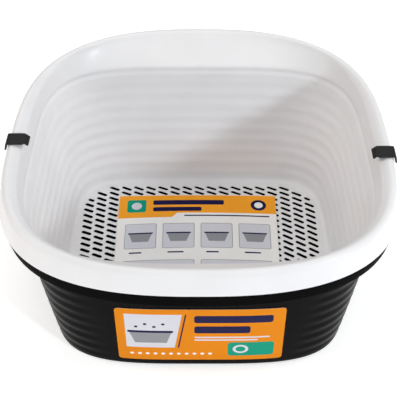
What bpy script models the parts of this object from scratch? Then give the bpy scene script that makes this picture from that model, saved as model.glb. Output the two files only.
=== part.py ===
"""Sifting litter box: a slotted sifting pan nested in two solid pans, with rim clips.

Units are metres, +Z is up, and the front of the box faces -Y. The origin is on the floor,
below the middle of the box.
"""

import math

import bmesh
import bpy
from mathutils import Vector
from mathutils.geometry import delaunay_2d_cdt

MM = 0.001

# Driving dimensions of the whole box
rim_half_width = 193 * MM
rim_half_depth = 180 * MM
pan_height = 187 * MM
nest_step = 9 * MM
wall = 1.6 * MM
seat_gap = 0.3 * MM
back_taper_share = 0.06

# Rim, as heights below the crest and distances in from the rim outline
skirt_drop = 26 * MM
skirt_shoulder_drop = 3 * MM
skirt_shoulder_inset = 4.5 * MM
crest_outer_inset = 6.5 * MM
crest_inner_inset = 11 * MM
flank_top_side_inset = 18.5 * MM
flank_top_end_inset = 16.4 * MM
flank_top_drop = 5 * MM
crease_drop = 28 * MM
crease_side_inset = 22 * MM
crease_end_inset = 41 * MM

# Wall below the crease, where its foot meets the rounding of the floor
foot_side_inset = 46.5 * MM
foot_front_inset = 53 * MM
foot_back_inset = 59 * MM
floor_fillet = 4.5 * MM
fillet_middle_share = 0.3
nest_inset = 1.6 * MM
rim_follow_share = 0.7
rib_pitch = 26 * MM
rib_depth = 0.4 * MM
smooth_front_half_angle = math.radians(48)
smooth_front_blend = math.radians(16)

# Outline exponents across and along the pan: 2 is an ellipse, larger is squarer
rim_powers = (2.5, 3.1)
crease_front_powers = (3.5, 3.1)
crease_back_powers = (3.9, 4.6)
flank_top_mix_share = 0.28
base_front_powers = (3.7, 4.8)
base_back_powers = (6.0, 6.5)
outline_steps = 28
corner_crowding_share = 0.05

# Sieve slots in the sifting pan's floor
slot_length = 12.8 * MM
slot_width = 3.8 * MM
slot_angle = math.radians(-27)
slot_column_pitch = 14.3 * MM
slot_row_pitch = 11 * MM
slot_margin = 1.8 * MM
floor_crown = 10 * MM

# Stand-off bosses inside the two solid pans
boss_radius = 8 * MM
boss_draft = 1.5 * MM
boss_sink = 0.8 * MM
boss_sides = 10
boss_place_share = 0.62

# Rim clips
clip_width = 15.5 * MM
clip_thickness = 1.8 * MM
clip_gap = 0.4 * MM
clip_inner_inset = 21.2 * MM
clip_outer_inset = 4.5 * MM
clip_tail_drop = 7 * MM
clip_tail_run = 1.5 * MM
clip_tongue_drop = 2.6 * MM
clip_tongue_run = 3 * MM
left_clip_place = -4.5 * MM
right_clip_place = -22.5 * MM

# Front label and instruction card
sheet_gap = 0.75 * MM
label_thickness = 0.5 * MM
label_top_gap = 51 * MM
label_bottom = 13.5 * MM
label_half_width = 84 * MM
label_centre_x = 1 * MM
label_columns = 16
card_thickness = 0.6 * MM
card_half_width = 91 * MM
card_depth = 165 * MM
card_back = 91 * MM
card_centre_x = -2.5 * MM
card_columns = 6
card_rows = 5

LOWER, WASTE, SIFTING = 0, 1, 2
merge_distance = 0.000001


def clear_scene():
    for old in list(bpy.data.objects):
        bpy.data.objects.remove(old, do_unlink=True)


def make_collection(name):
    collection = bpy.data.collections.new(name)
    bpy.context.scene.collection.children.link(collection)
    return collection


def make_material(name, colour, roughness, metallic=0.0):
    material = bpy.data.materials.new(name)
    material.use_nodes = True
    shader = material.node_tree.nodes["Principled BSDF"]
    shader.inputs["Base Color"].default_value = (*colour, 1.0)
    shader.inputs["Roughness"].default_value = roughness
    shader.inputs["Metallic"].default_value = metallic
    return material


def mix(first, second, share):
    return first + (second - first) * share


def smooth_step(value):
    value = min(max(value, 0.0), 1.0)
    return value * value * (3 - 2 * value)


def taper_width(x, y):
    """Draw the outline in a little towards the back."""
    return x * (1 - back_taper_share * y / rim_half_depth)


def outline_radius(angle, half_width, half_depth, powers):
    """Distance from the centre to a rounded outline, found by halving the interval."""
    near, far = 0.0, half_width + half_depth
    cos_side, sin_end = abs(math.cos(angle)), abs(math.sin(angle))
    for _ in range(48):
        middle = (near + far) / 2
        reach = (middle * cos_side / half_width) ** powers[0]
        reach += (middle * sin_end / half_depth) ** powers[1]
        if reach > 1:
            far = middle
        else:
            near = middle
    return (near + far) / 2


def outline_angle(step):
    """Polar angle of a step round the outline, with the steps closer at the corners."""
    turn = 2 * math.pi * step / outline_steps
    return turn + corner_crowding_share * math.sin(4 * turn)


def outline_point(step, insets, height, powers):
    """Point of a ring whose side, front and back lie in from the rim outline by the insets."""
    side_inset, front_inset, back_inset = insets
    front_powers, back_powers = powers
    angle = outline_angle(step)
    at_front = math.sin(angle) < 0
    half_width = rim_half_width - side_inset
    half_depth = rim_half_depth - (front_inset if at_front else back_inset)
    ring_powers = front_powers if at_front else back_powers
    radius = outline_radius(angle, half_width, half_depth, ring_powers)
    x, y = radius * math.cos(angle), radius * math.sin(angle)
    return Vector((taper_width(x, y), y, height))


def mix_each(first, second, share):
    return tuple(mix(one, other, share) for one, other in zip(first, second))


def shift_each(insets, distance):
    return tuple(inset + distance for inset in insets)


def wall_powers(height):
    """Exponents at the front and back of the walls, alike for every pan so that they nest."""
    share = height / (SIFTING * nest_step + pan_height - crease_drop)
    return (
        mix_each(base_front_powers, crease_front_powers, share),
        mix_each(base_back_powers, crease_back_powers, share),
    )


def rib_strength(angle):
    """1 round the sides and the back, fading to 0 on the smooth front panel."""
    from_front = abs(math.remainder(angle + math.pi / 2, 2 * math.pi))
    return smooth_step((from_front - smooth_front_half_angle) / smooth_front_blend)


class PanProfile:
    """Sizes of one pan of the nest, down its upper side from floor to skirt."""

    def __init__(self, level):
        self.bottom = level * nest_step
        self.crest = self.bottom + pan_height
        spread = (SIFTING - level) * nest_inset
        self.skirt_inset = spread
        self.shoulder_inset = skirt_shoulder_inset + spread * rim_follow_share
        self.crest_outer = crest_outer_inset + spread / 2
        self.crest_inner = crest_inner_inset - spread / 2
        flank_top = (flank_top_side_inset, flank_top_end_inset, flank_top_end_inset)
        crease = (crease_side_inset, crease_end_inset, crease_end_inset)
        foot = (foot_side_inset, foot_front_inset, foot_back_inset)
        self.flank_top_insets = shift_each(flank_top, -spread)
        self.crease_height = self.crest - crease_drop
        self.crease_insets = shift_each(crease, -spread)
        self.floor = self.bottom + wall
        self.foot = self.floor + floor_fillet
        self.foot_insets = shift_each(foot, -spread)
        self.floor_insets = shift_each(self.foot_insets, floor_fillet)

    def rib_heights(self):
        """Crests and hollows of the ribs, which line up through the whole nest."""
        half_pitch = rib_pitch / 2
        first = math.ceil((self.foot + half_pitch / 2) / half_pitch)
        last = math.floor((self.crease_height - half_pitch / 2) / half_pitch)
        return [(index * half_pitch, 1 if index % 2 else -1) for index in range(first, last + 1)]

    def ring(self, insets, height):
        powers = wall_powers(height)
        return [outline_point(step, insets, height, powers) for step in range(outline_steps)]

    def wall_ring(self, height, rib_side):
        share = (height - self.foot) / (self.crease_height - self.foot)
        insets = mix_each(self.foot_insets, self.crease_insets, share)
        powers = wall_powers(height)
        points = []
        for step in range(outline_steps):
            rib = rib_side * rib_depth * rib_strength(outline_angle(step))
            points.append(outline_point(step, shift_each(insets, rib), height, powers))
        return points

    def rim_ring(self, insets, drop, crease_share):
        """A ring of the rim, whose outline is mixed with that of the crease by a share."""
        powers = (
            mix_each(rim_powers, crease_front_powers, crease_share),
            mix_each(rim_powers, crease_back_powers, crease_share),
        )
        height = self.crest - drop
        return [outline_point(step, insets, height, powers) for step in range(outline_steps)]

    def rings(self):
        middle_height = self.floor + floor_fillet * fillet_middle_share
        middle_insets = mix_each(self.foot_insets, self.floor_insets, fillet_middle_share)
        rings = [
            self.ring(self.floor_insets, self.floor),
            self.ring(middle_insets, middle_height),
            self.wall_ring(self.foot, 0),
        ]
        rings += [self.wall_ring(height, side) for height, side in self.rib_heights()]
        rings.append(self.wall_ring(self.crease_height, 0))
        rings.append(self.rim_ring(self.flank_top_insets, flank_top_drop, flank_top_mix_share))
        rim = [
            (self.crest_inner, 0),
            (self.crest_outer, 0),
            (self.shoulder_inset, skirt_shoulder_drop),
            (self.skirt_inset, skirt_drop),
        ]
        rings += [self.rim_ring((inset, inset, inset), drop, 0) for inset, drop in rim]
        return rings


def link(collection, name, mesh, material):
    piece = bpy.data.objects.new(name, mesh)
    collection.objects.link(piece)
    mesh.materials.append(material)
    return piece


def add_solidify(piece, thickness):
    shell = piece.modifiers.new("Shell", "SOLIDIFY")
    shell.thickness = thickness
    shell.offset = -1.0
    shell.use_even_offset = True
    return shell


def loft_mesh(name, rings, fill_floor):
    """Open skin through closed rings; the floor is filled in inside the first one."""
    mesh = bpy.data.meshes.new(name)
    skin = bmesh.new()
    rows = [[skin.verts.new(point) for point in ring] for ring in rings]
    fill_floor(skin, rows[0])
    for lower_row, upper_row in zip(rows, rows[1:]):
        for step in range(outline_steps):
            after = (step + 1) % outline_steps
            skin.faces.new((lower_row[after], lower_row[step], upper_row[step], upper_row[after]))
    bmesh.ops.recalc_face_normals(skin, faces=skin.faces)
    skin.faces.ensure_lookup_table()
    if skin.faces[0].normal.z < 0:
        bmesh.ops.reverse_faces(skin, faces=skin.faces)
    skin.to_mesh(mesh)
    skin.free()
    return mesh


def fill_flat(skin, edge):
    skin.faces.new(edge)


def finish_smooth(piece, sharp_angle):
    piece.data.shade_smooth()
    piece.data.set_sharp_from_angle(angle=sharp_angle)


def join_solid(piece, other):
    change = piece.modifiers.new("Union", "BOOLEAN")
    change.operation = "UNION"
    change.object = other
    change.solver = "EXACT"


def hide_helper(piece):
    piece.hide_render = True
    piece.display_type = "WIRE"


def make_bosses(helpers, level):
    """Four low bosses that reach up to the floor of the next pan of the nest."""
    profile = PanProfile(level)
    mesh = bpy.data.meshes.new("bosses")
    group = bmesh.new()
    for x_side in (-1, 1):
        for y_side in (-1, 1):
            half_width, half_depth = floor_half_sizes(profile, y_side)
            x = x_side * boss_place_share * half_width
            y = y_side * boss_place_share * half_depth
            height = nest_step - wall - seat_gap + boss_sink
            if level == WASTE:
                far_x, far_y = abs(x) + boss_radius, y + y_side * boss_radius
                height += crown_height(far_x, far_y, PanProfile(SIFTING))
            made = bmesh.ops.create_cone(
                group,
                cap_ends=True,
                segments=boss_sides,
                radius1=boss_radius,
                radius2=boss_radius - boss_draft,
                depth=height,
            )
            place = Vector((x, y, profile.floor - boss_sink + height / 2))
            bmesh.ops.translate(group, verts=made["verts"], vec=place)
    group.to_mesh(mesh)
    group.free()
    bosses = bpy.data.objects.new(f"bosses_{level}", mesh)
    helpers.objects.link(bosses)
    hide_helper(bosses)
    return bosses


def make_solid_pan(name, level, parts, helpers, material):
    profile = PanProfile(level)
    pan = link(parts, name, loft_mesh(name, profile.rings(), fill_flat), material)
    add_solidify(pan, wall)
    join_solid(pan, make_bosses(helpers, level))
    finish_smooth(pan, math.radians(40))
    return pan


def slot_corners(centre):
    along = Vector((math.cos(slot_angle), math.sin(slot_angle)))
    across = Vector((-along.y, along.x))
    half_length, half_width = slot_length / 2, slot_width / 2
    return [
        centre + along * half_length * end + across * half_width * side
        for end, side in ((-1, -1), (1, -1), (1, 1), (-1, 1))
    ]


def floor_half_sizes(profile, y):
    side_inset, front_inset, back_inset = profile.floor_insets
    end_inset = front_inset if y < 0 else back_inset
    return rim_half_width - side_inset, rim_half_depth - end_inset


def inside_loop(point, loop, margin):
    """Whether a point lies in a convex loop, at least a margin from its edges."""
    for start, end in zip(loop, loop[1:] + loop[:1]):
        edge = end - start
        if edge.cross(point - start) < margin * edge.length:
            return False
    return True


def slot_centres(loop):
    """Centres of the slots that fit inside the loop round the floor."""
    columns = int(rim_half_width / slot_column_pitch)
    rows = int(rim_half_depth / slot_row_pitch)
    centres = []
    for column in range(-columns, columns + 1):
        for row in range(-rows, rows + 1):
            centre = Vector((column * slot_column_pitch, row * slot_row_pitch))
            if all(inside_loop(corner, loop, slot_margin) for corner in slot_corners(centre)):
                centres.append(centre)
    return centres


def crown_height(x, y, profile):
    """Rise of the sieve floor, from nothing at its edge to the full crown in the middle."""
    half_width, half_depth = floor_half_sizes(profile, y)
    across = max(0.0, 1 - (x / half_width) ** 2)
    along = max(0.0, 1 - (y / half_depth) ** 2)
    return floor_crown * across * along


def make_sifting_pan(parts, material):
    profile = PanProfile(SIFTING)

    def fill_sieve(skin, edge):
        """Triangles between the floor's edge and the slots, raised to the crown."""
        floor_edge = [vertex.co.to_2d() for vertex in edge]
        loops = [floor_edge, *map(slot_corners, slot_centres(floor_edge))]
        points, lines, owners = [], [], []
        for number, loop in enumerate(loops):
            first = len(points)
            points += loop
            owners += [number] * len(loop)
            lines += [(first + i, first + (i + 1) % len(loop)) for i in range(len(loop))]
        places, _, faces, sources = delaunay_2d_cdt(points, lines, [], 1, merge_distance)[:4]
        vertices = list(edge)
        for place in places[len(edge):]:
            height = profile.floor + crown_height(place.x, place.y, profile)
            vertices.append(skin.verts.new((place.x, place.y, height)))
        for face in faces:
            touched = {owners[sources[index][0]] for index in face}
            if len(touched) > 1 or touched == {0}:
                skin.faces.new([vertices[index] for index in face])

    mesh = loft_mesh("sifting_pan", profile.rings(), fill_sieve)
    pan = link(parts, "sifting_pan", mesh, material)
    add_solidify(pan, wall)
    finish_smooth(pan, math.radians(40))
    return pan


def grid_mesh(name, rows):
    mesh = bpy.data.meshes.new(name)
    skin = bmesh.new()
    grid = [[skin.verts.new(point) for point in row] for row in rows]
    for lower_row, upper_row in zip(grid, grid[1:]):
        for column in range(len(lower_row) - 1):
            skin.faces.new((
                lower_row[column],
                lower_row[column + 1],
                upper_row[column + 1],
                upper_row[column],
            ))
    skin.to_mesh(mesh)
    skin.free()
    return mesh


def point_at(run, x):
    """Point at a given x on a run of points that goes from left to right."""
    for first, second in zip(run, run[1:]):
        if first.x <= x <= second.x:
            return first.lerp(second, (x - first.x) / (second.x - first.x))
    raise ValueError("the label is wider than the front of the pan")


def front_wall_rows(profile, top, stand_off):
    """Rows of points for the label, on the facets of the smooth front panel."""
    front = [step for step in range(outline_steps) if math.sin(outline_angle(step)) < 0]
    ribs = [height for height, _ in profile.rib_heights()]
    heights = [label_bottom, *(height for height in ribs if label_bottom < height < top), top]
    rows = []
    for height in heights:
        ring = profile.wall_ring(height, 0)
        run = sorted((ring[step] for step in front), key=lambda point: point.x)
        row = []
        for column in range(label_columns + 1):
            across = 2 * column / label_columns - 1
            point = point_at(run, label_centre_x + label_half_width * across)
            row.append(point - Vector((0, stand_off, 0)))
        rows.append(row)
    return rows


def make_label(parts, material):
    profile = PanProfile(LOWER)
    top = profile.crease_height - label_top_gap
    rows = front_wall_rows(profile, top, wall + sheet_gap)
    label = link(parts, "front_label", grid_mesh("front_label", rows), material)
    sheet = add_solidify(label, label_thickness)
    sheet.offset = 1.0
    return label


def make_card(parts, material):
    """Instruction card lying over the crown of the sieve floor."""
    profile = PanProfile(SIFTING)
    rows = []
    for row in range(card_rows + 1):
        y = card_back - card_depth * (1 - row / card_rows)
        points = []
        for column in range(card_columns + 1):
            x = card_centre_x + card_half_width * (2 * column / card_columns - 1)
            z = profile.floor + crown_height(x, y, profile) + sheet_gap
            points.append(Vector((x, y, z)))
        rows.append(points)
    card = link(parts, "instruction_card", grid_mesh("instruction_card", rows), material)
    sheet = add_solidify(card, card_thickness)
    sheet.offset = 1.0
    return card


def rim_point_x(inset, y):
    """Half width of the rim outline at a given place along the side."""
    half_width, half_depth = rim_half_width - inset, rim_half_depth - inset
    share = 1 - (abs(y) / half_depth) ** rim_powers[1]
    return taper_width(half_width * share ** (1 / rim_powers[0]), y)


def clip_path(profile):
    """Inner face of a clip, from the tongue inside the pan, over the rim, to the tail."""
    return [
        (clip_inner_inset + clip_tongue_run, profile.crest - clip_tongue_drop),
        (clip_inner_inset, profile.crest + clip_gap),
        (clip_outer_inset, profile.crest + clip_gap),
        (clip_outer_inset - clip_tail_run, profile.crest - clip_tail_drop),
    ]


def make_clip(name, side, place, parts, material):
    """Bent strip over the rim, its origin on the pivot line at its inner end."""
    profile = PanProfile(SIFTING)
    path = clip_path(profile)
    rows = []
    for y in (place - clip_width / 2, place + clip_width / 2):
        rows.append([Vector((side * rim_point_x(inset, y), y, height)) for inset, height in path])
    if side < 0:
        rows.reverse()
    pivot = Vector((side * rim_point_x(path[0][0], place), place, path[0][1]))
    rows = [[point - pivot for point in row] for row in rows]
    clip = link(parts, name, grid_mesh(name, rows), material)
    clip.location = pivot
    strip = add_solidify(clip, clip_thickness)
    strip.offset = 1.0
    return clip


def build():
    clear_scene()
    parts = make_collection("Sifting litter box")
    helpers = make_collection("Helpers")
    white = make_material("White moulded plastic", (0.82, 0.82, 0.81), 0.34)
    black = make_material("Black moulded plastic", (0.016, 0.016, 0.018), 0.30)
    clip_black = make_material("Black clip plastic", (0.02, 0.02, 0.02), 0.55)
    label_paper = make_material("Label sheet", (0.85, 0.36, 0.05), 0.4)
    card_paper = make_material("Card", (0.78, 0.77, 0.72), 0.7)
    make_solid_pan("lower_pan", LOWER, parts, helpers, black)
    make_label(parts, label_paper)
    make_solid_pan("waste_pan", WASTE, parts, helpers, black)
    make_sifting_pan(parts, white)
    make_card(parts, card_paper)
    make_clip("rim_clip_left", -1, left_clip_place, parts, clip_black)
    make_clip("rim_clip_right", 1, right_clip_place, parts, clip_black)


build()
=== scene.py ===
"""Looks of the sifting litter box: moulded surfaces, printed sheets, studio light and camera."""

import math

import bmesh
import bpy
import numpy as np
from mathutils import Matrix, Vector
from mathutils.geometry import delaunay_2d_cdt


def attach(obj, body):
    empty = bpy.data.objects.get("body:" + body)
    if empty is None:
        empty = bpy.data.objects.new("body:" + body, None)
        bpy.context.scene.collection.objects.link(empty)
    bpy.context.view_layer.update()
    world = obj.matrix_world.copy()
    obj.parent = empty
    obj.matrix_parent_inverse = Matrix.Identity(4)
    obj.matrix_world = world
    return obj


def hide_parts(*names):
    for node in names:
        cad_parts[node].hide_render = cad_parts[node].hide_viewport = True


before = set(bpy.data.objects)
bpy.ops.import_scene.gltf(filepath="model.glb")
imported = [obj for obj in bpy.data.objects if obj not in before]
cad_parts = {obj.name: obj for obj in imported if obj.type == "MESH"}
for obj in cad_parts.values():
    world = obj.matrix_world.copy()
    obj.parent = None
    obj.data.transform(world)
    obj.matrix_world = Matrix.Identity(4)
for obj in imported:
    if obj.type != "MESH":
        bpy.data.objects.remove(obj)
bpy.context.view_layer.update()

MM = 0.001

# Driving dimensions, the same as the frame's
rim_half_width = 193 * MM
rim_half_depth = 180 * MM
pan_height = 187 * MM
nest_step = 9 * MM
wall = 1.6 * MM
seat_gap = 0.3 * MM
back_taper_share = 0.06

# Rim, as heights below the crest and distances in from the rim outline
skirt_drop = 26 * MM
skirt_margin = 0.2 * MM
skirt_shoulder_drop = 3 * MM
skirt_shoulder_inset = 4.5 * MM
crest_outer_inset = 6.5 * MM
crest_inner_inset = 11 * MM
flank_top_side_inset = 18.5 * MM
flank_top_end_inset = 16.4 * MM
flank_top_drop = 5 * MM
crease_drop = 28 * MM
crease_side_inset = 22 * MM
crease_end_inset = 41 * MM

# Groove below the crease, between the rim band and the wall
black_groove_depth = 0.5 * MM
white_groove_depth = 1.6 * MM
groove_lip = 2 * MM
groove_drop = 8 * MM

# Wall below the crease, where its foot meets the rounding of the floor
foot_side_inset = 46.5 * MM
foot_front_inset = 53 * MM
foot_back_inset = 59 * MM
floor_fillet = 4.5 * MM
nest_inset = 1.6 * MM
rim_follow_share = 0.7

# Ribs of the wall. The white pan's are deeper at the foot and fade towards the top.
rib_pitch = 16 * MM
black_rib_depth = 0.36 * MM
white_rib_depth = 0.46 * MM
back_rib_share = 0.7
top_rib_share = 0.35
rib_fade_share = 0.5
panel_half_angle = math.radians(36)
panel_draw_in = math.radians(4)
panel_blend = math.radians(11)
panel_top = 145 * MM

# Outline exponents across and along the pan: 2 is an ellipse, larger is squarer
rim_powers = (2.5, 3.1)
crease_front_powers = (3.5, 3.1)
crease_back_powers = (3.9, 4.6)
flank_top_mix_share = 0.28
base_front_powers = (3.7, 4.8)
base_back_powers = (6.0, 6.5)

# Facets
outline_steps = 224
corner_crowding_share = 0.05
row_spacing = 2.2 * MM
least_row = 0.05 * MM
bend_steps = 5
rim_spacing = 1.6 * MM
rim_passes = 4
bevel_steps = 3
round_bevel = 0.5

# A curve with this reach takes up all of the stretch beside its corner
whole_reach = 1000 * MM

# Edges that bend more than this are shaded sharp, and on the clips bevelled
pan_sharp_angle = math.radians(42)
sheet_sharp_angle = math.radians(30)
clip_sharp_angle = math.radians(35)
clip_edge_angle = math.radians(60)

# Rounds of the searches, and how near two points are one
halvings = 44
taper_rounds = 6
merge_distance = 0.001 * MM

# Sieve slots
slot_length = 12.8 * MM
slot_width = 3.8 * MM
slot_angle = math.radians(-27)
slot_column_pitch = 14.3 * MM
slot_row_pitch = 8.8 * MM
slot_margin = 2 * MM
least_slot = 2 * MM
slot_end_steps = 5
slot_samples = 25
slot_lip = 0.5 * MM
slot_lip_drop = 0.4 * MM
floor_crown = 10 * MM
crown_edge_share = 0.12

# Stand-off bosses inside the two solid pans
boss_radius = 8 * MM
boss_draft = 1.5 * MM
boss_sink = 0.8 * MM
boss_sides = 48
boss_round = 0.8 * MM
boss_place_share = 0.62

# Clips
clip_width = 15.5 * MM
clip_thickness = 1.8 * MM
clip_gap = 0.4 * MM
clip_inner_inset = 21.2 * MM
clip_outer_inset = 4.5 * MM
clip_tail_drop = 7 * MM
clip_tail_run = 1.5 * MM
clip_tongue_drop = 2.6 * MM
clip_tongue_run = 3 * MM
left_clip_place = -4.5 * MM
right_clip_place = -22.5 * MM
clip_columns = 8
clip_chamfer = 1.2 * MM
clip_round = 0.5 * MM
clip_bend = 0.8 * MM

# Printed sheets
label_gap = 0.35 * MM
label_thickness = 0.35 * MM
label_top_gap = 51 * MM
label_bottom = 13.5 * MM
label_half_width = 84 * MM
label_centre_x = 1 * MM
card_gap = 0.6 * MM
card_thickness = 0.5 * MM
card_half_width = 91 * MM
card_depth = 165 * MM
card_back = 91 * MM
card_centre_x = -2.5 * MM

# Print on the sheets, in millimetres
label_corner = 4
card_corner = 1.5
sheet_grid = 6
print_margin = 0.01
print_corner_steps = 4
disc_steps = 24

# Noise in the materials: repeats in a metre, and its finer layers
cloud_noise = (18, 3)
gloss_noise = (60, 4)
grain_noise = (900, 2)
noise_low = 0.3
noise_high = 0.7
grain_height = 0.05 * MM

# Ink: its darker mottle, its spread of roughness, its shine and its grain
ink_dark_share = 0.95
ink_roughness_spread = 0.04
ink_specular = 0.04
ink_grain = 0.12

# Camera, at the photograph's viewing angle
camera_x = 0.7 * MM
camera_y = -767 * MM
camera_height = 933 * MM
camera_pitch = math.radians(46.9)
camera_lens = 95.9

# Studio
stage_half_size = 4000 * MM
stage_steps = 8
table_glow = 0.42
world_colour = (0.98, 0.99, 1, 1)
world_strength = 0.072
light_target = (0, 0, 100 * MM)

# Lights: name, place and width in metres, power in watts, and colour
studio_lights = (
    ("key", (1.66, -1.66, 1.33), 0.3, 24, (0.86, 0.94, 1)),
    ("front", (0, -1.9, 1.9), 1.8, 14, (1, 0.98, 0.98)),
    ("left", (-2.2, -0.2, 1.5), 2, 32, (1, 0.95, 0.89)),
    ("back", (0, 1.9, 1.9), 1.8, 10.5, (0.9, 0.95, 1)),
    ("over", (0, 0, 2.7), 2, 14.5, (1, 1, 1)),
    ("right", (2.2, 0.2, 1.5), 2, 26, (1, 0.97, 0.94)),
)

# Levels of the nest
LOWER, WASTE, SIFTING = 0, 1, 2

# Inks, in the order of a sheet's materials
ORANGE, WHITE, NAVY, GREEN, CREAM, GREY, PAPER = range(7)

# Side of a skin on which it is given its thickness
BACK_SIDE, FACE_SIDE = -1, 1

# What delaunay_2d_cdt is asked for: triangles inside the given lines
TRIANGLES_INSIDE = 1

UP = Vector((0, 0, 1))
FRONT = Vector((0, -1, 0))


# Shared mathematics


def mix(first, second, share):
    return first + (second - first) * share


def smooth_step(value):
    value = np.clip(value, 0.0, 1.0)
    return value * value * (3 - 2 * value)


def taper(y):
    """Share of its width that an outline has at y, a little less towards the back."""
    return 1 - back_taper_share * y / rim_half_depth


def outline_angles():
    turn = 2 * np.pi * np.arange(outline_steps) / outline_steps
    return turn + corner_crowding_share * np.sin(4 * turn)


def outline_radius(angles, half_width, half_depth, powers):
    """Distance from the centre to a rounded outline, found by halving the interval."""
    side_power, end_power = powers
    near = np.zeros_like(angles)
    far = np.zeros_like(angles) + half_width + half_depth
    cos_side, sin_end = np.abs(np.cos(angles)), np.abs(np.sin(angles))
    for _ in range(halvings):
        middle = (near + far) / 2
        reach = (middle * cos_side / half_width) ** side_power
        reach += (middle * sin_end / half_depth) ** end_power
        far = np.where(reach > 1, middle, far)
        near = np.where(reach > 1, near, middle)
    return (near + far) / 2


def ring_points(insets, height, powers, shift=0.0):
    """One ring whose side, front and back lie in from the rim outline by the insets."""
    side_inset, front_inset, back_inset = insets
    angles = outline_angles()
    half_width = rim_half_width - side_inset - shift
    radii = [
        outline_radius(angles, half_width, rim_half_depth - end_inset - shift, end_powers)
        for end_inset, end_powers in zip((front_inset, back_inset), powers)
    ]
    radius = np.where(np.sin(angles) < 0, *radii)
    x, y = radius * np.cos(angles), radius * np.sin(angles)
    return np.stack([x * taper(y), y, np.full_like(x, height)], axis=1)


def mix_each(first, second, share):
    return tuple(mix(one, other, share) for one, other in zip(first, second))


def shift_each(insets, distance):
    return tuple(inset + distance for inset in insets)


def wall_powers(height):
    """Exponents at the front and back of the walls, alike for every pan so that they nest."""
    share = height / (SIFTING * nest_step + pan_height - crease_drop)
    return (
        mix_each(base_front_powers, crease_front_powers, share),
        mix_each(base_back_powers, crease_back_powers, share),
    )


def rib_strength(height):
    """1 round the sides and the back, 0 on the front panel, whose edge curves in below."""
    turn = outline_angles() + np.pi / 2
    from_front = np.abs((turn + np.pi) % (2 * np.pi) - np.pi)
    low = 1 - height / panel_top
    edge = panel_half_angle - panel_draw_in * max(low, 0.0) ** 2
    return smooth_step((from_front - edge) / panel_blend)


def spacing_of(first, second):
    """Mean distance between two rings, or the distance between two points."""
    return float(np.mean(np.linalg.norm(np.atleast_2d(second - first), axis=1)))


def round_corners(corners):
    """Replace each inner corner of a path by a curve that starts and ends at its reaches.

    A corner is a ring or a point, and how far its curve reaches before and after it.
    """
    path = [corners[0][0]]
    for before, corner, after in zip(corners, corners[1:], corners[2:]):
        middle = corner[0]
        ends = []
        for other, reach in ((before, corner[1]), (after, corner[2])):
            length = spacing_of(middle, other[0])
            at_end = other is corners[0] or other is corners[-1]
            share = min(reach / length, 1 if at_end else 0.5)
            ends.append(mix(middle, other[0], share))
        for step in range(bend_steps + 1):
            share = step / bend_steps
            first = mix(ends[0], middle, share)
            path.append(mix(first, mix(middle, ends[1], share), share))
    path.append(corners[-1][0])
    kept = path[:1]
    for ring in path[1:]:
        if spacing_of(kept[-1], ring) > least_row:
            kept.append(ring)
    return kept


def subdivide(path, spacing):
    """Put more rows into a path, so that they lie about the spacing apart."""
    rows = [path[0]]
    for first, second in zip(path, path[1:]):
        pieces = max(1, round(spacing_of(first, second) / spacing))
        rows += [mix(first, second, (step + 1) / pieces) for step in range(pieces)]
    return rows


def soften(rows, passes):
    """Even out the bends of a run of rings, whose ends stay in place."""
    for _ in range(passes):
        threes = zip(rows, rows[1:], rows[2:])
        middle = [(before + 2 * here + after) / 4 for before, here, after in threes]
        rows = [rows[0], *middle, rows[-1]]
    return rows


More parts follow.
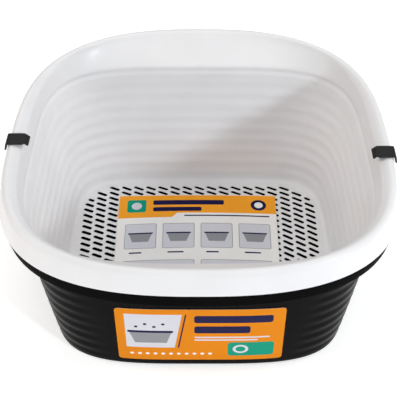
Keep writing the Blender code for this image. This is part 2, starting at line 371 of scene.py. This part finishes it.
class PanProfile:
    """Sizes of one pan of the nest: the frame's, with the skirt a hair further in."""

    def __init__(self, level):
        self.bottom = level * nest_step
        self.crest = self.bottom + pan_height
        spread = (SIFTING - level) * nest_inset
        self.skirt_inset = spread + skirt_margin
        self.shoulder_inset = skirt_shoulder_inset + spread * rim_follow_share
        self.crest_outer = crest_outer_inset + spread / 2
        self.crest_inner = crest_inner_inset - spread / 2
        flank_top = (flank_top_side_inset, flank_top_end_inset, flank_top_end_inset)
        crease = (crease_side_inset, crease_end_inset, crease_end_inset)
        foot = (foot_side_inset, foot_front_inset, foot_back_inset)
        self.flank_top_insets = shift_each(flank_top, -spread)
        self.crease_height = self.crest - crease_drop
        self.crease_insets = shift_each(crease, -spread)
        self.floor = self.bottom + wall
        self.foot = self.floor + floor_fillet
        self.foot_insets = shift_each(foot, -spread)
        self.floor_insets = shift_each(self.foot_insets, floor_fillet)
        self.rib_depth = white_rib_depth if level == SIFTING else black_rib_depth
        self.top_rib_share = top_rib_share if level == SIFTING else 1
        self.groove_depth = white_groove_depth if level == SIFTING else black_groove_depth

    def wall_share(self, height):
        """0 at the foot of the wall, 1 at the crease."""
        return (height - self.foot) / (self.crease_height - self.foot)

    def wall_insets(self, height):
        return mix_each(self.foot_insets, self.crease_insets, self.wall_share(height))

    def wall_ring(self, height, shift=0.0):
        """A ring of the wall. The shift inwards is a number or varies round the ring."""
        return ring_points(self.wall_insets(height), height, wall_powers(height), shift)

    def ribs(self, height):
        """How far the wall waves inwards and outwards at a height, round the ring."""
        from_ends = min(height - self.foot, self.crease_height - groove_drop - height) / rib_pitch
        fade = float(smooth_step(from_ends / rib_fade_share))
        wave = math.cos(2 * math.pi * height / rib_pitch)
        towards_side = mix(back_rib_share, 1, np.cos(outline_angles()) ** 2)
        towards_side *= mix(1, self.top_rib_share, self.wall_share(height))
        return self.rib_depth * fade * wave * towards_side * rib_strength(height)

    def rim_ring(self, insets, drop, crease_share=0):
        """A ring of the rim, whose outline is mixed with that of the crease by a share."""
        powers = (
            mix_each(rim_powers, crease_front_powers, crease_share),
            mix_each(rim_powers, crease_back_powers, crease_share),
        )
        return ring_points(insets, self.crest - drop, powers)

    def level_ring(self, inset, drop):
        """A ring of the rim with one inset all round."""
        return self.rim_ring((inset, inset, inset), drop)

    def rings(self):
        """Rings from the edge of the floor up the wall, over the rim and down the skirt."""
        floor_edge = ring_points(self.floor_insets, self.floor, wall_powers(self.floor))
        foot = self.wall_ring(self.foot)
        corner = self.wall_ring(self.floor)
        bend = [(floor_edge, 0, 0), (corner, whole_reach, whole_reach), (foot, 0, 0)]
        top = self.crease_height - groove_drop
        count = round((top - self.foot) / row_spacing)
        heights = [mix(self.foot, top, (step + 1) / count) for step in range(count - 1)]
        rim = [
            self.wall_ring(top),
            self.wall_ring(self.crease_height - groove_lip, -self.groove_depth),
            self.wall_ring(self.crease_height),
            self.rim_ring(self.flank_top_insets, flank_top_drop, flank_top_mix_share),
            self.level_ring(self.crest_inner, 0),
            self.level_ring(self.crest_outer, 0),
            self.level_ring(self.shoulder_inset, skirt_shoulder_drop),
            self.level_ring(self.skirt_inset, skirt_drop),
        ]
        rings = round_corners(bend)
        rings += [self.wall_ring(height, self.ribs(height)) for height in heights]
        return rings + soften(subdivide(rim, rim_spacing), rim_passes)


# Meshes


def add_object(name, data):
    made = bpy.data.objects.new(name, data)
    bpy.context.scene.collection.objects.link(made)
    return made


def add_mesh(name, skin):
    """Make an object of a skin, which is used up."""
    mesh = bpy.data.meshes.new(name)
    skin.to_mesh(mesh)
    skin.free()
    return add_object(name, mesh)


def new_piece(name, skin, body, materials, nodes):
    """Make a piece of a skin. It rides on its body and takes the place of its nodes."""
    bmesh.ops.recalc_face_normals(skin, faces=skin.faces)
    piece = add_mesh(name, skin)
    for material in materials:
        piece.data.materials.append(material)
    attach(piece, body)
    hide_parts(*nodes)
    return piece


def apply_modifiers(piece, sharp_angle):
    graph = bpy.context.evaluated_depsgraph_get()
    mesh = bpy.data.meshes.new_from_object(piece.evaluated_get(graph))
    piece.modifiers.clear()
    piece.data = mesh
    mesh.shade_smooth()
    mesh.set_sharp_from_angle(angle=sharp_angle)


def add_solidify(piece, thickness, offset):
    """Give a skin its thickness, on its back side or its face side."""
    shell = piece.modifiers.new("Shell", "SOLIDIFY")
    shell.thickness = thickness
    shell.offset = offset
    shell.use_even_offset = True
    return shell


def add_wall(skin, rings):
    """Join the rings with faces. Returns the vertices of the first ring."""
    rows = [[skin.verts.new(point) for point in ring] for ring in rings]
    for low, high in zip(rows, rows[1:]):
        for step in range(outline_steps):
            after = (step + 1) % outline_steps
            skin.faces.new((low[after], low[step], high[step], high[after]))
    return rows[0]


def turn_towards(piece, face, direction):
    """Turn the whole skin over if the given face looks away from the direction."""
    if face.normal.dot(direction) < 0:
        piece.data.flip_normals()


def lowest_face(piece):
    return min(piece.data.polygons, key=lambda face: face.center.z)


def highest_face(piece):
    return max(piece.data.polygons, key=lambda face: face.center.z)


def floor_half_sizes(profile, y):
    side_inset, front_inset, back_inset = profile.floor_insets
    end_inset = front_inset if y < 0 else back_inset
    return rim_half_width - side_inset, rim_half_depth - end_inset


def make_bosses(level):
    """Four low bosses on which the next pan stands."""
    profile = PanProfile(level)
    group = bmesh.new()
    for x_side in (-1, 1):
        for y_side in (-1, 1):
            half_width, half_depth = floor_half_sizes(profile, y_side)
            x = x_side * boss_place_share * half_width
            y = y_side * boss_place_share * half_depth
            height = nest_step - wall - seat_gap + boss_sink
            if level == WASTE:
                # The sieve floor above is crowned, and lowest over the boss's outer corner
                far_x, far_y = abs(x) + boss_radius, y + y_side * boss_radius
                height += crown_height(far_x, far_y, PanProfile(SIFTING))
            made = bmesh.ops.create_cone(
                group,
                cap_ends=True,
                segments=boss_sides,
                radius1=boss_radius,
                radius2=boss_radius - boss_draft,
                depth=height,
            )
            own = set(made["verts"])
            top = max(vertex.co.z for vertex in own) - merge_distance
            rim = [
                edge for edge in group.edges
                if edge.verts[0] in own and all(vertex.co.z > top for vertex in edge.verts)
            ]
            place = Vector((x, y, profile.floor - boss_sink + height / 2))
            bmesh.ops.translate(group, verts=made["verts"], vec=place)
            bmesh.ops.bevel(
                group,
                geom=rim,
                offset=boss_round,
                segments=bevel_steps,
                profile=round_bevel,
                affect="EDGES",
            )
    return add_mesh("bosses", group)


def make_solid_pan(name, level, body, material):
    profile = PanProfile(level)
    skin = bmesh.new()
    skin.faces.new(add_wall(skin, profile.rings()))
    pan = new_piece(name + "_shell", skin, body, [material], [name])
    turn_towards(pan, lowest_face(pan), UP)
    add_solidify(pan, wall, BACK_SIDE)
    bosses = make_bosses(level)
    join = pan.modifiers.new("Bosses", "BOOLEAN")
    join.operation = "UNION"
    join.object = bosses
    join.solver = "EXACT"
    apply_modifiers(pan, pan_sharp_angle)
    bpy.data.objects.remove(bosses)


def floor_reach(x, y, profile, margin):
    """Below 1 inside the floor's outline drawn in by the margin."""
    half_width, half_depth = floor_half_sizes(profile, y)
    front_powers, back_powers = wall_powers(profile.floor)
    side_power, end_power = front_powers if y < 0 else back_powers
    wide = abs(x / taper(y)) / (half_width - margin)
    return wide ** side_power + (abs(y) / (half_depth - margin)) ** end_power


def crown_height(x, y, profile):
    """Rise of the sieve floor, from nothing at its edge to the full crown in the middle."""
    half_width, half_depth = floor_half_sizes(profile, y)
    across = max(0.0, 1 - (x / half_width) ** 2)
    along = max(0.0, 1 - (y / half_depth) ** 2)
    edge = smooth_step((1 - floor_reach(x, y, profile, 0)) / crown_edge_share)
    return floor_crown * across * along * float(edge)


def slot_spine(centre, profile):
    """Ends of a slot's middle line, cut short near the floor's edge; None if too short."""
    along = np.array([math.cos(slot_angle), math.sin(slot_angle)])
    radius = slot_width / 2
    kept = []
    for place in np.linspace(radius - slot_length / 2, slot_length / 2 - radius, slot_samples):
        if floor_reach(*(centre + along * place), profile, slot_margin + radius) <= 1:
            kept.append(centre + along * place)
    if not kept or np.linalg.norm(kept[-1] - kept[0]) < least_slot:
        return None
    return kept[-1], kept[0]


def round_ended(spine, radius):
    """Outline of a slot, with a half circle at each end."""
    points = []
    for end, turn in zip(spine, (slot_angle - math.pi / 2, slot_angle + math.pi / 2)):
        for step in range(slot_end_steps + 1):
            angle = turn + math.pi * step / slot_end_steps
            points.append(end + radius * np.array([math.cos(angle), math.sin(angle)]))
    return points


def slot_spines(profile):
    """Middle lines of all the slots, in columns and rows about the centre."""
    columns = int(rim_half_width / slot_column_pitch)
    rows = int(rim_half_depth / slot_row_pitch)
    spines = []
    for column in range(-columns, columns + 1):
        for row in range(-rows, rows + 1):
            place = np.array((column * slot_column_pitch, row * slot_row_pitch))
            spine = slot_spine(place, profile)
            if spine is not None:
                spines.append(spine)
    return spines


def triangulate(loops, extra):
    """Triangles inside the first loop, with the others as lines in them.

    Returns the points, the faces, and for each point the given ones that it stands for.
    """
    points, lines = [], []
    for loop in loops:
        start, size = len(points), len(loop)
        points += [Vector(point) for point in loop]
        lines += [(start + step, start + (step + 1) % size) for step in range(size)]
    points += [Vector(point) for point in extra]
    made = delaunay_2d_cdt(points, lines, [], TRIANGLES_INSIDE, merge_distance)
    return made[0], made[2], made[3]


def make_sieve_floor(skin, edge, profile):
    """Fill the edge with a crowned floor, whose slots have a sunken lip."""
    spines = slot_spines(profile)
    lips = [round_ended(spine, slot_width / 2 + slot_lip) for spine in spines]
    border = [vertex.co.to_2d() for vertex in edge]
    places, faces, sources = triangulate([border, *lips], [])
    lip_size = len(lips[0])
    loop_of, vertices = {}, []
    for index, place in enumerate(places):
        source = min(sources[index])
        if source < len(edge):
            vertices.append(edge[source])
        else:
            loop_of[index] = (source - len(edge)) // lip_size
            height = profile.floor + crown_height(place.x, place.y, profile)
            vertices.append(skin.verts.new((place.x, place.y, height)))
    for face in faces:
        # A face whose corners all lie on one lip would close the slot
        loops = {loop_of.get(index, -1) for index in face}
        if len(loops) > 1 or -1 in loops:
            skin.faces.new([vertices[index] for index in face])
    by_source = {min(sources[index]): vertices[index] for index in range(len(places))}
    for number, spine in enumerate(spines):
        start = len(edge) + number * lip_size
        outer = [by_source[start + step] for step in range(lip_size)]
        inner = []
        for x, y in round_ended(spine, slot_width / 2):
            height = profile.floor + crown_height(x, y, profile) - slot_lip_drop
            inner.append(skin.verts.new((x, y, height)))
        for step in range(lip_size):
            after = (step + 1) % lip_size
            skin.faces.new((outer[step], outer[after], inner[after], inner[step]))


def make_sifting_pan(material):
    profile = PanProfile(SIFTING)
    skin = bmesh.new()
    make_sieve_floor(skin, add_wall(skin, profile.rings()), profile)
    pan = new_piece(
        "sifting_pan_shell", skin, "sifting", [material], ["sifting_pan"]
    )
    turn_towards(pan, lowest_face(pan), UP)
    add_solidify(pan, wall, BACK_SIDE)
    apply_modifiers(pan, pan_sharp_angle)


# Printed sheets. Their regions are in millimetres across and up the sheet.


def rounded_box(left, low, right, high, radius):
    points = []
    corners = ((right, high), (left, high), (left, low), (right, low))
    for turn, (x, y) in enumerate(corners):
        centre_x = x - math.copysign(radius, x - (left + right) / 2)
        centre_y = y - math.copysign(radius, y - (low + high) / 2)
        for step in range(print_corner_steps + 1):
            angle = (turn + step / print_corner_steps) * math.pi / 2
            across, up = radius * math.cos(angle), radius * math.sin(angle)
            points.append((centre_x + across, centre_y + up))
    return points


def trapezium(low, low_left, low_right, high, high_left, high_right):
    """A level low edge and a level high edge, each with its left and right end."""
    return [(low_left, low), (low_right, low), (high_right, high), (high_left, high)]


def disc(x, y, radius):
    turns = [2 * math.pi * step / disc_steps for step in range(disc_steps)]
    return [(x + radius * math.cos(turn), y + radius * math.sin(turn)) for turn in turns]


def inside(point, polygon):
    """Whether a point is in a polygon: a line from it crosses an odd number of sides."""
    odd = False
    for (x1, y1), (x2, y2) in zip(polygon, [*polygon[1:], polygon[0]]):
        if (y1 > point[1]) != (y2 > point[1]):
            if point[0] < x1 + (x2 - x1) * (point[1] - y1) / (y2 - y1):
                odd = not odd
    return odd


def split_lines(polygon, spacing):
    """Cut the sides of a polygon into pieces about as long as the spacing."""
    points = []
    for first, second in zip(polygon, [*polygon[1:], polygon[0]]):
        first, second = np.array(first), np.array(second)
        pieces = max(1, round(float(np.linalg.norm(second - first)) / spacing))
        points += [mix(first, second, step / pieces) for step in range(pieces)]
    return points


def sheet_skin(regions, place):
    """A skin with one material for each colour of the print; the first region is the sheet."""
    outline = regions[0][1]
    across = [point[0] for point in outline]
    up = [point[1] for point in outline]
    loops = [split_lines(polygon, sheet_grid) for _, polygon in regions]
    grid = []
    for x in np.arange(min(across), max(across), sheet_grid):
        for y in np.arange(min(up), max(up), sheet_grid):
            if inside((x, y), outline):
                grid.append((x, y))
    places, faces, _ = triangulate(loops, grid)
    skin = bmesh.new()
    vertices = [skin.verts.new(place(point.x * MM, point.y * MM)) for point in places]
    for face in faces:
        middle = sum((places[index] for index in face), Vector((0, 0))) / len(face)
        if inside(middle, outline):
            colours = [colour for colour, polygon in regions if inside(middle, polygon)]
            skin.faces.new([vertices[index] for index in face]).material_index = colours[-1]
    loose = [vertex for vertex in skin.verts if not vertex.link_faces]
    bmesh.ops.delete(skin, geom=loose, context="VERTS")
    return skin


def front_point(profile, x, height, stand_off):
    """Point on the front panel of a pan, a little outside its wall."""
    side_inset, front_inset, _ = profile.wall_insets(height)
    half_width = rim_half_width - side_inset + stand_off
    half_depth = rim_half_depth - front_inset + stand_off
    side_power, end_power = wall_powers(height)[0]
    y = -half_depth
    for _ in range(taper_rounds):
        share = abs(x) / (half_width * taper(y))
        y = -half_depth * (1 - share ** side_power) ** (1 / end_power)
    return Vector((x, y, height))


def label_regions():
    """A pan with grains above it, bars in place of words, and a ring on a badge."""
    left = (label_centre_x - label_half_width) / MM
    right = (label_centre_x + label_half_width) / MM
    low = label_bottom / MM
    high = (PanProfile(LOWER).crease_height - label_top_gap) / MM
    picture_left, picture_low, picture_high = left + 9, low + 24, high - 9
    pan_top = low + 52
    words_left = left + 78
    ring_x, ring_y = left + 125, low + 21
    grains = [(left + 20 + 9 * grain, low + 63 + 5 * (grain % 2)) for grain in range(4)]
    return [
        (ORANGE, rounded_box(left, low, right, high, label_corner)),
        (WHITE, trapezium(
            picture_low, picture_left, left + 58, picture_high, picture_left, left + 66
        )),
        (NAVY, trapezium(
            picture_low, left + 61, left + 62.5, picture_high, left + 69, left + 70.5
        )),
        (GREY, trapezium(low + 33, left + 18, left + 50, pan_top, left + 13, left + 55)),
        (NAVY, rounded_box(left + 11, pan_top, left + 57, low + 56, 1.5)),
        *((NAVY, disc(x, y, 1.8)) for x, y in grains),
        (NAVY, rounded_box(words_left, high - 24, right - 12, high - 11, 3)),
        (NAVY, rounded_box(words_left, high - 43, right - 34, high - 30, 3)),
        (WHITE, rounded_box(words_left, high - 52, right - 14, high - 49.5, 1)),
        (WHITE, rounded_box(words_left, high - 57, right - 26, high - 54.5, 1)),
        (GREEN, rounded_box(left + 112, low + 8, right - 9, low + 34, 4)),
        (WHITE, disc(ring_x, ring_y, 8)),
        (GREEN, disc(ring_x, ring_y, 5)),
        *((CREAM, disc(left + 14 + 8 * dot, low + 12, 2)) for dot in range(11)),
    ]


def card_regions():
    """A head with bars in place of words, and boxes that each show a pan."""
    left = (card_centre_x - card_half_width) / MM
    right = (card_centre_x + card_half_width) / MM
    high = card_back / MM
    low = (card_back - card_depth) / MM
    head_left, head_right = left + print_margin, right - print_margin
    words_left = left + 40
    ring_x, ring_y = right - 20, high - 17
    regions = [
        (CREAM, rounded_box(left, low, right, high, card_corner)),
        (ORANGE, [
            (head_left, high - 38), (left + 62, high - 38), (left + 68, high - 31),
            (head_right, high - 31), (head_right, high - 0.5), (left + 0.5, high - 0.5),
        ]),
        (NAVY, rounded_box(left + 76, high - 36.5, right - 8, high - 34.5, 0.8)),
        (GREEN, rounded_box(left + 10, high - 29, left + 32, high - 8, 3)),
        (WHITE, disc(left + 21, high - 18.5, 6)),
        (NAVY, rounded_box(words_left, high - 17, left + 122, high - 9, 2)),
        (NAVY, rounded_box(words_left, high - 28, left + 96, high - 21, 2)),
        (NAVY, disc(ring_x, ring_y, 9)),
        (CREAM, disc(ring_x, ring_y, 5)),
    ]
    for column in range(4):
        x = left + 9 + 43 * column
        regions += [
            (GREY, rounded_box(x, high - 86, x + 36, high - 48, 2)),
            (WHITE, rounded_box(x + 0.7, high - 85.3, x + 35.3, high - 48.7, 1.5)),
            (GREY, trapezium(high - 76, x + 9, x + 27, high - 64, x + 5, x + 31)),
            (NAVY, rounded_box(x + 4, high - 64, x + 32, high - 62, 0.6)),
            (NAVY, rounded_box(x + 6, high - 93, x + 20 + 4 * (column % 2), high - 91, 0.6)),
        ]
    for column in range(2):
        x = left + 9 + 86 * column
        regions += [
            (GREY, rounded_box(x, high - 152, x + 79, high - 103, 2)),
            (WHITE, rounded_box(x + 0.7, high - 151.3, x + 78.3, high - 103.7, 1.5)),
            (GREY, trapezium(high - 140, x + 22, x + 57, high - 118, x + 13, x + 66)),
            (NAVY, rounded_box(x + 11, high - 118, x + 68, high - 115, 1)),
        ]
    return regions


def finish_sheet(sheet, direction, thickness):
    """Give a printed skin its thickness, with plain paper at its edges and back."""
    turn_towards(sheet, sheet.data.polygons[0], direction)
    shell = add_solidify(sheet, thickness, FACE_SIDE)
    shell.material_offset = PAPER
    shell.material_offset_rim = PAPER
    apply_modifiers(sheet, sheet_sharp_angle)


def make_label(inks):
    profile = PanProfile(LOWER)
    run = profile.foot_insets[1] - profile.crease_insets[1]
    slope = math.atan2(run, profile.crease_height - profile.foot)
    stand_off = (wall + label_gap) / math.cos(slope)
    skin = sheet_skin(label_regions(), lambda x, z: front_point(profile, x, z, stand_off))
    label = new_piece("front_label_print", skin, "lower", inks, ["front_label"])
    finish_sheet(label, FRONT, label_thickness)


def make_card(inks):
    profile = PanProfile(SIFTING)

    def on_floor(x, y):
        return Vector((x, y, profile.floor + crown_height(x, y, profile) + card_gap))

    skin = sheet_skin(card_regions(), on_floor)
    card = new_piece("instruction_card_print", skin, "card", inks, ["instruction_card"])
    finish_sheet(card, UP, card_thickness)


# Clips


def rim_point_x(inset, y):
    """Half width of the rim outline at a given place along the side."""
    half_width, half_depth = rim_half_width - inset, rim_half_depth - inset
    share = 1 - (abs(y) / half_depth) ** rim_powers[1]
    return half_width * share ** (1 / rim_powers[0]) * taper(y)


def clip_path(profile):
    """Inner face of a clip, from the tongue inside the pan, over the rim, to the tail."""
    top = profile.crest + clip_gap
    corners = [
        (clip_inner_inset + clip_tongue_run, profile.crest - clip_tongue_drop, 0),
        (clip_inner_inset, top, clip_bend),
        (clip_inner_inset - clip_chamfer, top, 0),
        (clip_outer_inset, top, clip_bend),
        (clip_outer_inset - clip_tail_run, profile.crest - clip_tail_drop, 0),
    ]
    path = [(np.array((inset, height)), reach, reach) for inset, height, reach in corners]
    return subdivide(round_corners(path), row_spacing)


def make_clip(name, node, body, side, place, material):
    profile = PanProfile(SIFTING)
    path = clip_path(profile)
    skin = bmesh.new()
    rows = []
    for inset, height in path:
        past_start = inset - (clip_inner_inset - clip_chamfer)
        half_width = clip_width / 2 - min(max(past_start, 0.0), clip_chamfer)
        row = []
        for column in range(clip_columns + 1):
            y = place + half_width * (2 * column / clip_columns - 1)
            row.append(skin.verts.new((side * rim_point_x(inset, y), y, height)))
        rows.append(row)
    for low, high in zip(rows, rows[1:]):
        for column in range(clip_columns):
            skin.faces.new((low[column], low[column + 1], high[column + 1], high[column]))
    clip = new_piece(name, skin, body, [material], [node])
    turn_towards(clip, highest_face(clip), UP)
    add_solidify(clip, clip_thickness, FACE_SIDE)
    edges = clip.modifiers.new("Edges", "BEVEL")
    edges.width = clip_round
    edges.segments = bevel_steps
    edges.limit_method = "ANGLE"
    edges.angle_limit = clip_edge_angle
    apply_modifiers(clip, clip_sharp_angle)


# Materials


def new_material(name):
    """A material, its nodes and links, and its main shader."""
    material = bpy.data.materials.new(name)
    material.use_nodes = True
    nodes = material.node_tree.nodes
    return material, nodes, material.node_tree.links, nodes["Principled BSDF"]


def add_noise(nodes, links, scale, detail):
    """Noise that is fixed to the object."""
    place = nodes.new("ShaderNodeTexCoord")
    noise = nodes.new("ShaderNodeTexNoise")
    noise.inputs["Scale"].default_value = scale
    noise.inputs["Detail"].default_value = detail
    links.new(place.outputs["Object"], noise.inputs["Vector"])
    return noise.outputs["Fac"]


def add_range(nodes, links, value, low, high):
    """Spread the usual values of noise over a range."""
    spread = nodes.new("ShaderNodeMapRange")
    spread.inputs["From Min"].default_value = noise_low
    spread.inputs["From Max"].default_value = noise_high
    spread.inputs["To Min"].default_value = low
    spread.inputs["To Max"].default_value = high
    links.new(value, spread.inputs["Value"])
    return spread.outputs["Result"]


def moulded(name, dark, light, roughness, specular, grain):
    """Moulded plastic: soft clouds of colour and gloss, and a fine grain in the surface."""
    material, nodes, links, shader = new_material(name)
    clouds = add_noise(nodes, links, *cloud_noise)
    colour = nodes.new("ShaderNodeMix")
    colour.data_type = "RGBA"
    links.new(add_range(nodes, links, clouds, 0, 1), colour.inputs["Factor"])
    colour.inputs["A"].default_value = (*dark, 1)
    colour.inputs["B"].default_value = (*light, 1)
    links.new(colour.outputs["Result"], shader.inputs["Base Color"])
    gloss = add_noise(nodes, links, *gloss_noise)
    links.new(add_range(nodes, links, gloss, *roughness), shader.inputs["Roughness"])
    shader.inputs["Specular IOR Level"].default_value = specular
    bump = nodes.new("ShaderNodeBump")
    bump.inputs["Strength"].default_value = grain
    bump.inputs["Distance"].default_value = grain_height
    links.new(add_noise(nodes, links, *grain_noise), bump.inputs["Height"])
    links.new(bump.outputs["Normal"], shader.inputs["Normal"])
    return material


def add_coat(material, weight, roughness):
    """A thin glossy skin, for the small glints of polished moulds."""
    shader = material.node_tree.nodes["Principled BSDF"]
    shader.inputs["Coat Weight"].default_value = weight
    shader.inputs["Coat Roughness"].default_value = roughness


def printed(name, colour, roughness):
    """Ink on coated paper: a faint mottle, and fibres in the surface."""
    dark = [channel * ink_dark_share for channel in colour]
    spread = (roughness - ink_roughness_spread, roughness + ink_roughness_spread)
    return moulded(name, dark, colour, spread, ink_specular, ink_grain)


# Studio


def add_light(name, place, width, power, colour):
    """A round soft light that faces the middle of the box."""
    lamp = bpy.data.lights.new(name, "AREA")
    lamp.shape = "DISK"
    lamp.size = width
    lamp.energy = power
    lamp.color = colour
    light = add_object(name, lamp)
    light.location = place
    aim = Vector(light_target) - Vector(place)
    light.rotation_euler = aim.to_track_quat("-Z", "Y").to_euler()


def make_stage():
    """A pale floor, wide enough to fill the view."""
    floor = bmesh.new()
    bmesh.ops.create_grid(
        floor, x_segments=stage_steps, y_segments=stage_steps, size=stage_half_size
    )
    stage = add_mesh("studio_floor", floor)
    table = moulded(
        "Lit table",
        dark=(0.93, 0.93, 0.93),
        light=(0.95, 0.95, 0.95),
        roughness=(0.8, 0.9),
        specular=0.1,
        grain=0.05,
    )
    shader = table.node_tree.nodes["Principled BSDF"]
    shader.inputs["Emission Color"].default_value = (1, 1, 1, 1)
    shader.inputs["Emission Strength"].default_value = table_glow
    stage.data.materials.append(table)


def make_world():
    world = bpy.data.worlds.new("Studio")
    world.use_nodes = True
    back = world.node_tree.nodes["Background"]
    back.inputs["Color"].default_value = world_colour
    back.inputs["Strength"].default_value = world_strength
    bpy.context.scene.world = world


def make_camera():
    data = bpy.data.cameras.new("camera")
    data.lens = camera_lens
    camera = add_object("camera", data)
    camera.location = (camera_x, camera_y, camera_height)
    camera.rotation_euler = (math.pi / 2 - camera_pitch, 0, 0)
    bpy.context.scene.camera = camera


# Dress the frame

white = moulded(
    "White plastic",
    dark=(0.785, 0.78, 0.79),
    light=(0.825, 0.82, 0.83),
    roughness=(0.36, 0.44),
    specular=0.3,
    grain=0.08,
)
add_coat(white, weight=0.1, roughness=0.18)
black = moulded(
    "Black plastic",
    dark=(0.001, 0.001, 0.001),
    light=(0.002, 0.002, 0.002),
    roughness=(0.24, 0.32),
    specular=0.023,
    grain=0.1,
)
clip_black = moulded(
    "Clip plastic",
    dark=(0.012, 0.012, 0.011),
    light=(0.017, 0.017, 0.016),
    roughness=(0.45, 0.55),
    specular=0.25,
    grain=0.3,
)
inks = [
    printed("Orange ink", (0.80, 0.25, 0.003), roughness=0.38),
    printed("White ink", (0.70, 0.70, 0.76), roughness=0.4),
    printed("Navy ink", (0.012, 0.011, 0.065), roughness=0.38),
    printed("Green ink", (0.004, 0.33, 0.21), roughness=0.38),
    printed("Cream ink", (0.93, 0.92, 0.90), roughness=0.45),
    printed("Grey ink", (0.30, 0.31, 0.33), roughness=0.45),
    printed("Plain paper", (0.66, 0.65, 0.62), roughness=0.6),
]
# The orange ink again, painted lighter on the card to stand in for light that falls short of it
# inside the pan
card_orange_painted_lighter = printed("Card orange ink painted lighter", (1, 0.40, 0.03), roughness=0.38)

make_solid_pan("lower_pan", LOWER, "lower", black)
make_solid_pan("waste_pan", WASTE, "waste", black)
make_sifting_pan(white)
make_label(inks)
make_card([card_orange_painted_lighter, *inks[1:]])
make_clip("left_clip_strip", "rim_clip_left", "clip_left", -1, left_clip_place, clip_black)
make_clip("right_clip_strip", "rim_clip_right", "clip_right", 1, right_clip_place, clip_black)

make_stage()
make_world()
for light in studio_lights:
    add_light(*light)
make_camera()
bpy.context.scene.view_settings.view_transform = "Standard"
